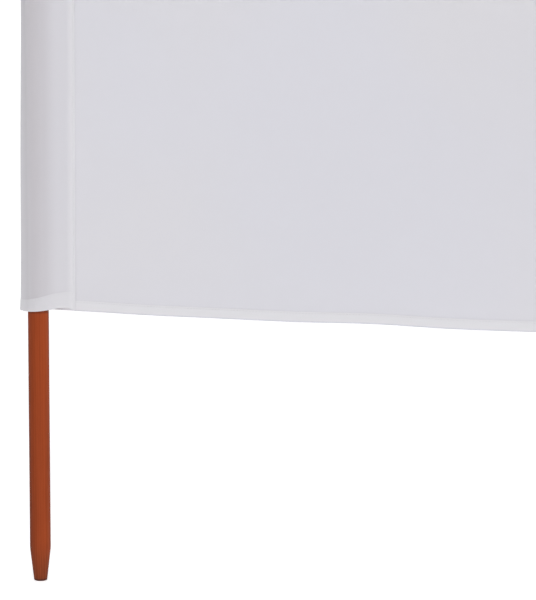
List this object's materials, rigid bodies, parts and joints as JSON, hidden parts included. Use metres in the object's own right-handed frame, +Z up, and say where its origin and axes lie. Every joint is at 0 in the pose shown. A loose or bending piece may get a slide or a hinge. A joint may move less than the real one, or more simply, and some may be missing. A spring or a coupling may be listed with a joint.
{
  "type": "beach windbreak",
  "caption": "Zigzag beach windbreak: hemmed off-white cloth bays with sewn sleeves on round stained wooden poles that taper to a blunt foot and stand in sand.",
  "frame": {"origin": "centre of the middle pole's flat foot, the lowest point of the pole", "axes": "+X along the run of the bays, -Y out of the side that carries the sleeves, +Z up along the poles"},
  "size_m": [5.2124, 0.3101, 1.2],
  "materials": {
    "cloth": "plain-woven off-white polyester, matt",
    "pole": "reddish-brown stained softwood, satin"
  },
  "bodies": {
    "root": {"pole_1": "pole", "pole_2": "pole", "pole_3": "pole", "pole_4": "pole", "pole_5": "pole", "panel_1": "cloth", "panel_2": "cloth", "panel_3": "cloth", "panel_4": "cloth", "sleeve_1": "cloth", "sleeve_2": "cloth", "sleeve_3": "cloth", "sleeve_4": "cloth", "sleeve_5": "cloth"}
  },
  "joints": []
}
